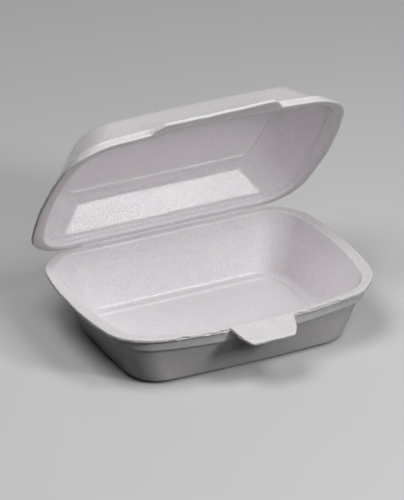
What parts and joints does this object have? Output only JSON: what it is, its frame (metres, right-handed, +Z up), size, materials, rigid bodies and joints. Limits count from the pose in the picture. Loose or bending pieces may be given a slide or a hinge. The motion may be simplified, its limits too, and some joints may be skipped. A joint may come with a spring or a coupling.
{
  "type": "foam clamshell container",
  "caption": "Hinged food box of white foam sheet: deep base tray with a closing tab and a shallower lid that turns on a pressed crease along the rear rim.",
  "frame": {"origin": "middle of the base's flat underside", "axes": "+X along the crease, +Y to the rear where the crease is, +Z up"},
  "size_m": [0.193, 0.1605, 0.1513],
  "materials": {
    "white_foam": "formed foam sheet with a satin skin and fine cell grain"
  },
  "bodies": {
    "base": {"base_tray": "white_foam"},
    "lid": {"lid": "white_foam"}
  },
  "joints": [
    {"name": "lid_hinge", "type": "hinge", "parent": "base", "child": "lid", "pos_m": [0, 0.0675, 0.03845], "axis": [-1, 0, 0], "range_deg": [-54.5, 125.5]}
  ]
}
